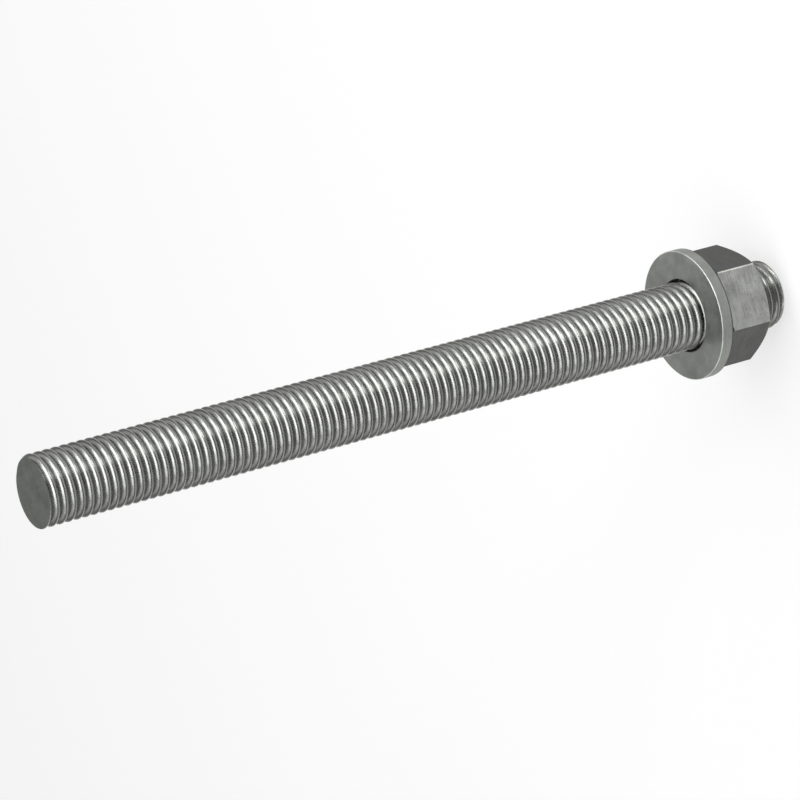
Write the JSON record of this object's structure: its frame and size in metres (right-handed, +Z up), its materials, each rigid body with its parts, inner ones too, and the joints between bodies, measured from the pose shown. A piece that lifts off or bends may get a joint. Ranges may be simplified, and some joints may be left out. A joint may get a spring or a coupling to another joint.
{
  "type": "chemical anchor rod",
  "caption": "Fully threaded steel anchor rod for bonding into a drilled hole, with a flat washer and a hexagon nut.",
  "frame": {"origin": "the middle of the rod's nut end, on the surface that the rod stands on", "axes": "+Z runs up the rod from the nut end to the embedment end; +X runs through a corner of the nut"},
  "size_m": [0.03, 0.03, 0.19],
  "materials": {
    "rod_steel": "rolled thread, bright crests",
    "washer_steel": "matt zinc",
    "nut_steel": "matt zinc, brushed flats"
  },
  "bodies": {
    "rod": {"threaded_rod": "rod_steel"},
    "washer": {"washer": "washer_steel"},
    "nut": {"hex_nut": "nut_steel"}
  },
  "joints": [
    {"name": "washer_travel", "type": "slide", "parent": "rod", "child": "washer", "axis": [0, 0, 1], "range_m": [-0.0185, 0.1665]},
    {"name": "nut_turn", "type": "hinge", "parent": "washer", "child": "nut", "pos_m": [0, 0, 0.01415], "axis": [0, 0, 1], "range_deg": [-3330, 29970]}
  ],
  "couplings": [
    {"joint": "nut_turn", "follows": "washer_travel", "rad_per_m": 3141.6}
  ]
}
